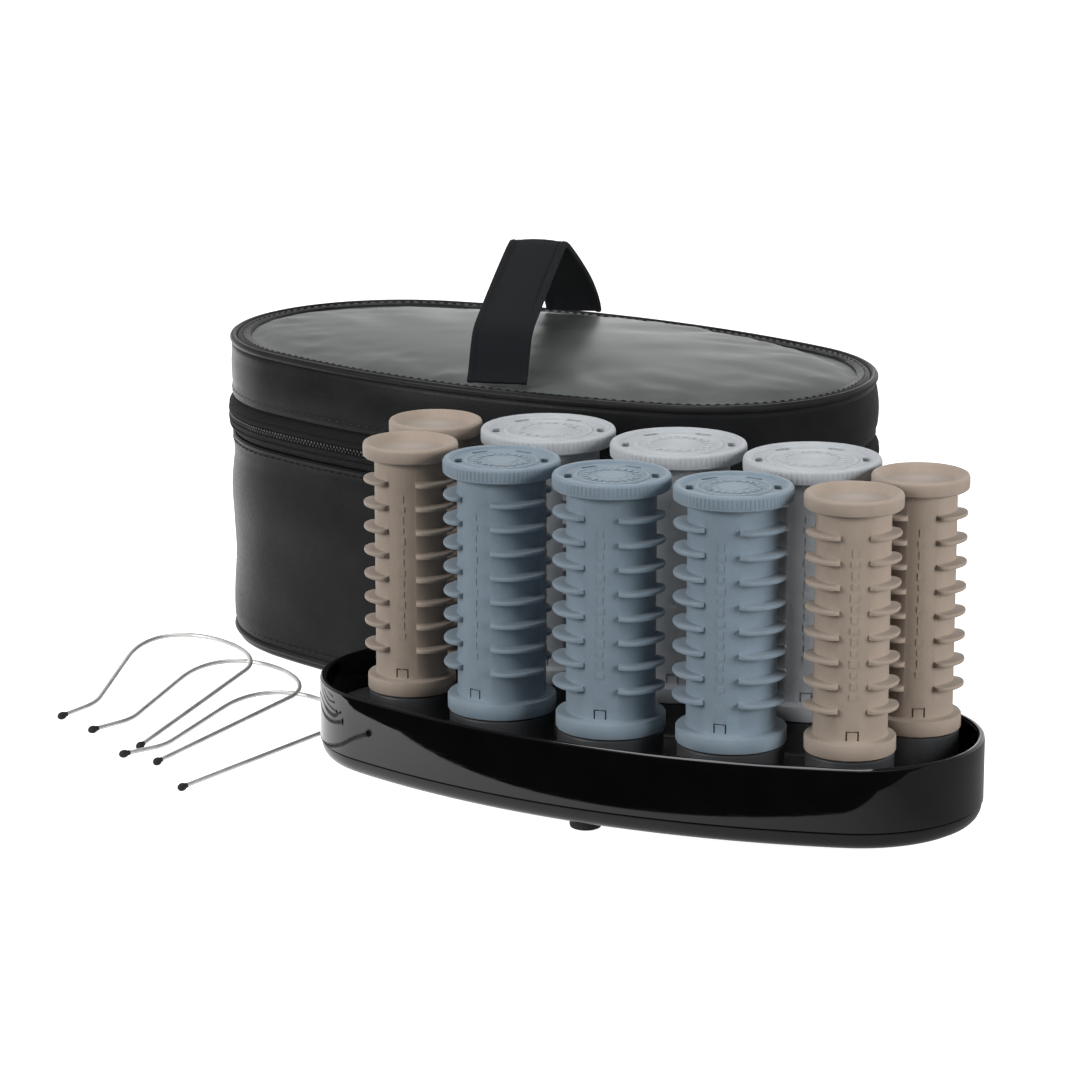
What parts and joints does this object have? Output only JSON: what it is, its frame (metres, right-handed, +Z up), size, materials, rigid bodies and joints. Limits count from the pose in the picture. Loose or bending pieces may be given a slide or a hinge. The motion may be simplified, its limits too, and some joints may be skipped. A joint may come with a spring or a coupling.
{
  "type": "heated roller set",
  "caption": "Finned hair rollers in three sizes on the posts of an oval heated base, with bent-wire clips and a soft oval zip case with a clear window and a strap.",
  "frame": {"origin": "on the table under the middle of the whole set's box", "axes": "+X along the base's long side, +Y from the base towards the case, +Z up"},
  "size_m": [0.2821, 0.2256, 0.1254],
  "materials": {
    "gloss_black": "gloss",
    "satin_black": "satin",
    "rubber": "matte",
    "aluminium": "satin",
    "steel": "satin",
    "brass": "satin",
    "red_lens": "gloss",
    "beige_plastic": "velvet",
    "blue_grey_plastic": "velvet",
    "light_grey_plastic": "velvet",
    "black_vinyl": "satin",
    "black_fabric": "matte",
    "clear_vinyl": "gloss"
  },
  "bodies": {
    "base": {"base_housing": "gloss_black", "deck_insert": "satin_black", "bottom_cover": "satin_black", "heater_plate": "aluminium", "heater_rod_left": "steel", "heater_rod_right": "steel", "thermostat": "brass", "switch_bezel": "satin_black", "indicator_lens": "red_lens", "cord_gland": "rubber", "foot_1": "rubber", "foot_2": "rubber", "foot_3": "rubber", "foot_4": "rubber", "cover_screw_1": "steel", "cover_screw_2": "steel", "cover_screw_3": "steel", "cover_screw_4": "steel", "small_post_1": "aluminium", "small_post_2": "aluminium", "small_post_3": "aluminium", "small_post_4": "aluminium", "medium_post_1": "aluminium", "medium_post_2": "aluminium", "medium_post_3": "aluminium", "large_post_1": "aluminium", "large_post_2": "aluminium", "large_post_3": "aluminium"},
    "small_roller_1": {"small_roller_1": "beige_plastic", "small_roller_1_cap": "beige_plastic"},
    "small_roller_2": {"small_roller_2": "beige_plastic", "small_roller_2_cap": "beige_plastic"},
    "small_roller_3": {"small_roller_3": "beige_plastic", "small_roller_3_cap": "beige_plastic"},
    "small_roller_4": {"small_roller_4": "beige_plastic", "small_roller_4_cap": "beige_plastic"},
    "medium_roller_1": {"medium_roller_1": "blue_grey_plastic", "medium_roller_1_cap": "blue_grey_plastic"},
    "medium_roller_2": {"medium_roller_2": "blue_grey_plastic", "medium_roller_2_cap": "blue_grey_plastic"},
    "medium_roller_3": {"medium_roller_3": "blue_grey_plastic", "medium_roller_3_cap": "blue_grey_plastic"},
    "large_roller_1": {"large_roller_1": "light_grey_plastic", "large_roller_1_cap": "light_grey_plastic"},
    "large_roller_2": {"large_roller_2": "light_grey_plastic", "large_roller_2_cap": "light_grey_plastic"},
    "large_roller_3": {"large_roller_3": "light_grey_plastic", "large_roller_3_cap": "light_grey_plastic"},
    "switch_rocker": {"switch_rocker": "gloss_black"},
    "carry_case": {"case_tub": "black_vinyl", "zip_tape_lower": "black_fabric"},
    "case_lid": {"case_lid": "black_vinyl", "lid_window": "clear_vinyl", "zip_tape_upper": "black_fabric", "carry_strap": "black_fabric"},
    "zip_slider": {"zip_slider": "steel"},
    "zip_puller": {"zip_puller": "steel"},
    "wire_clip_1": {"wire_clip_1": "steel"},
    "wire_clip_2": {"wire_clip_2": "steel"},
    "wire_clip_3": {"wire_clip_3": "steel"}
  },
  "joints": [
    {"name": "small_roller_1_lift", "type": "slide", "parent": "base", "child": "small_roller_1", "axis": [0, 0, 1], "range_m": [0, 0.1]},
    {"name": "small_roller_2_lift", "type": "slide", "parent": "base", "child": "small_roller_2", "axis": [0, 0, 1], "range_m": [0, 0.1]},
    {"name": "small_roller_3_lift", "type": "slide", "parent": "base", "child": "small_roller_3", "axis": [0, 0, 1], "range_m": [0, 0.1]},
    {"name": "small_roller_4_lift", "type": "slide", "parent": "base", "child": "small_roller_4", "axis": [0, 0, 1], "range_m": [0, 0.1]},
    {"name": "medium_roller_1_lift", "type": "slide", "parent": "base", "child": "medium_roller_1", "axis": [0, 0, 1], "range_m": [0, 0.1]},
    {"name": "medium_roller_2_lift", "type": "slide", "parent": "base", "child": "medium_roller_2", "axis": [0, 0, 1], "range_m": [0, 0.1]},
    {"name": "medium_roller_3_lift", "type": "slide", "parent": "base", "child": "medium_roller_3", "axis": [0, 0, 1], "range_m": [0, 0.1]},
    {"name": "large_roller_1_lift", "type": "slide", "parent": "base", "child": "large_roller_1", "axis": [0, 0, 1], "range_m": [0, 0.1]},
    {"name": "large_roller_2_lift", "type": "slide", "parent": "base", "child": "large_roller_2", "axis": [0, 0, 1], "range_m": [0, 0.1]},
    {"name": "large_roller_3_lift", "type": "slide", "parent": "base", "child": "large_roller_3", "axis": [0, 0, 1], "range_m": [0, 0.1]},
    {"name": "switch_rocker_tilt", "type": "hinge", "parent": "base", "child": "switch_rocker", "pos_m": [0.0466, -0.0117, 0.0156], "axis": [0, 0, 1], "range_deg": [0, 16]},
    {"name": "carry_case_lift", "type": "slide", "parent": "base", "child": "carry_case", "axis": [0, 0, 1], "range_m": [0, 0.1]},
    {"name": "case_lid_hinge", "type": "hinge", "parent": "carry_case", "child": "case_lid", "pos_m": [-0.03135, 0.1113, 0.0692], "axis": [-0.9949, 0.1011, 0], "range_deg": [0, 110]},
    {"name": "zip_slider_travel", "type": "hinge", "parent": "carry_case", "child": "zip_slider", "pos_m": [0.01553, 0.04733, 0.0692], "axis": [0, 0, 1], "range_deg": [-134, 0]},
    {"name": "zip_puller_swing", "type": "hinge", "parent": "zip_slider", "child": "zip_puller", "pos_m": [0.04794, 0.09226, 0.0702], "axis": [0.8111, -0.585, 0], "range_deg": [0, 150]},
    {"name": "wire_clip_3_lift", "type": "slide", "parent": "base", "child": "wire_clip_3", "axis": [0, 0, 1], "range_m": [0, 0.03]},
    {"name": "wire_clip_2_lift", "type": "slide", "parent": "wire_clip_3", "child": "wire_clip_2", "axis": [0, 0, 1], "range_m": [0, 0.03]},
    {"name": "wire_clip_1_lift", "type": "slide", "parent": "wire_clip_2", "child": "wire_clip_1", "axis": [0, 0, 1], "range_m": [0, 0.03]}
  ]
}
